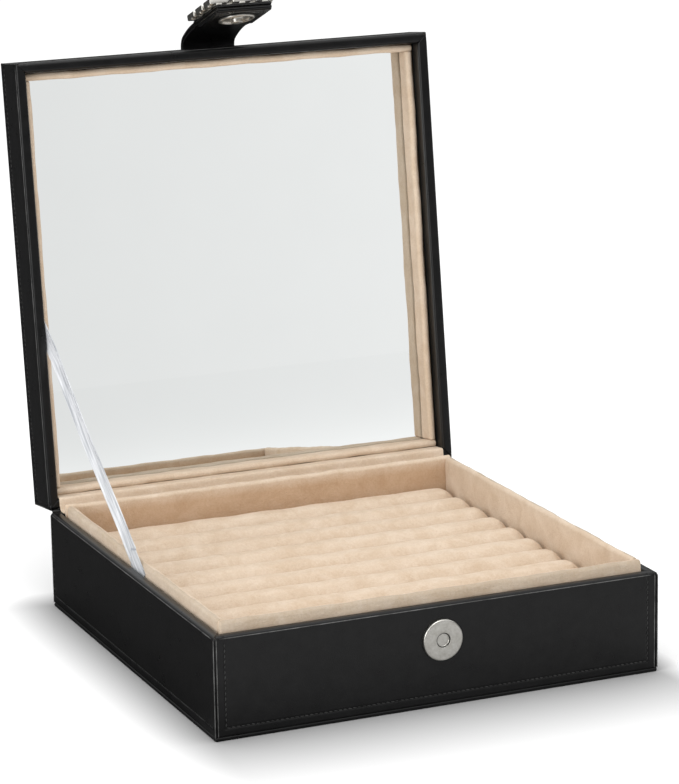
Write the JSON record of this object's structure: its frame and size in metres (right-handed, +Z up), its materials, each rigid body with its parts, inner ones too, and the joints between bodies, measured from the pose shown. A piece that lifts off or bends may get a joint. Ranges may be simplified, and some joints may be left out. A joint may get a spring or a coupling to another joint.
{
  "type": "jewelry box",
  "caption": "Square leather-covered jewelry box: hinged lid with a mirror, velvet tray of ring rolls, ribbon stay and magnetic snap strap.",
  "frame": {"origin": "middle of the underside, on the surface that the box stands on", "axes": "+X right, +Y to the hinge at the back, +Z up; the clasp is at the front"},
  "size_m": [0.204, 0.2569, 0.2742],
  "materials": {
    "black_leather": "smooth black leather, faint grain, semi-matt",
    "fibre_board": "raw fibre board, hidden under the leather",
    "card": "plain grey card, hidden",
    "beige_velvet": "short-pile beige velvet",
    "foam": "soft foam, hidden under the velvet",
    "nickel": "satin nickel plate",
    "steel": "plain steel, hidden",
    "magnet": "dull dark ferrite, hidden in its shell",
    "white_satin": "white satin ribbon with a soft sheen",
    "mirror": "silvered mirror glass"
  },
  "bodies": {
    "base": {"base_sole": "black_leather", "base_board_bottom": "fibre_board", "base_board_front": "fibre_board", "base_board_back": "fibre_board", "base_board_left": "fibre_board", "base_board_right": "fibre_board", "base_leather_front": "black_leather", "base_leather_back": "black_leather", "base_leather_left": "black_leather", "base_leather_right": "black_leather", "base_liner_front": "beige_velvet", "base_liner_back": "beige_velvet", "base_liner_left": "beige_velvet", "base_liner_right": "beige_velvet", "tray_floor_card": "card", "tray_foam_pad": "foam", "ring_roll_01": "beige_velvet", "ring_roll_02": "beige_velvet", "ring_roll_03": "beige_velvet", "ring_roll_04": "beige_velvet", "ring_roll_05": "beige_velvet", "ring_roll_06": "beige_velvet", "ring_roll_07": "beige_velvet", "ring_roll_08": "beige_velvet", "ring_roll_09": "beige_velvet", "ring_roll_10": "beige_velvet", "ring_roll_cores": "foam", "snap_socket": "nickel", "snap_magnet": "magnet", "snap_socket_washer": "steel", "hinge_spine_leather": "black_leather", "hinge_inner_lining": "beige_velvet", "ribbon_stay": "white_satin"},
    "lid": {"lid_board_top": "fibre_board", "lid_board_front": "fibre_board", "lid_board_back": "fibre_board", "lid_board_left": "fibre_board", "lid_board_right": "fibre_board", "lid_leather_front": "black_leather", "lid_leather_back": "black_leather", "lid_leather_left": "black_leather", "lid_leather_right": "black_leather", "lid_leather_top": "black_leather", "mirror_backing_card": "card", "mirror_glass": "mirror", "lid_liner_front": "beige_velvet", "lid_liner_back": "beige_velvet", "lid_liner_left": "beige_velvet", "lid_liner_right": "beige_velvet", "strap_anchor": "black_leather", "strap_bend": "black_leather"},
    "clasp": {"clasp_leather_upper": "black_leather", "clasp_leather_lining": "black_leather", "clasp_end_pad": "black_leather", "snap_stud": "nickel", "snap_stud_washer": "steel", "clasp_ornament": "nickel"}
  },
  "joints": [
    {"name": "lid_hinge", "type": "hinge", "parent": "base", "child": "lid", "pos_m": [0, 0.10235, 0.0453], "axis": [1, 0, 0], "range_deg": [0, 97], "deforming": ["hinge_spine_leather", "hinge_inner_lining", "ribbon_stay"]},
    {"name": "clasp_bend", "type": "hinge", "parent": "lid", "child": "clasp", "pos_m": [0, 0.1544, 0.24934], "axis": [1, 0, 0], "range_deg": [-60, 14], "stiffness_Nm_per_rad": 0.15, "deforming": ["strap_bend"]}
  ]
}
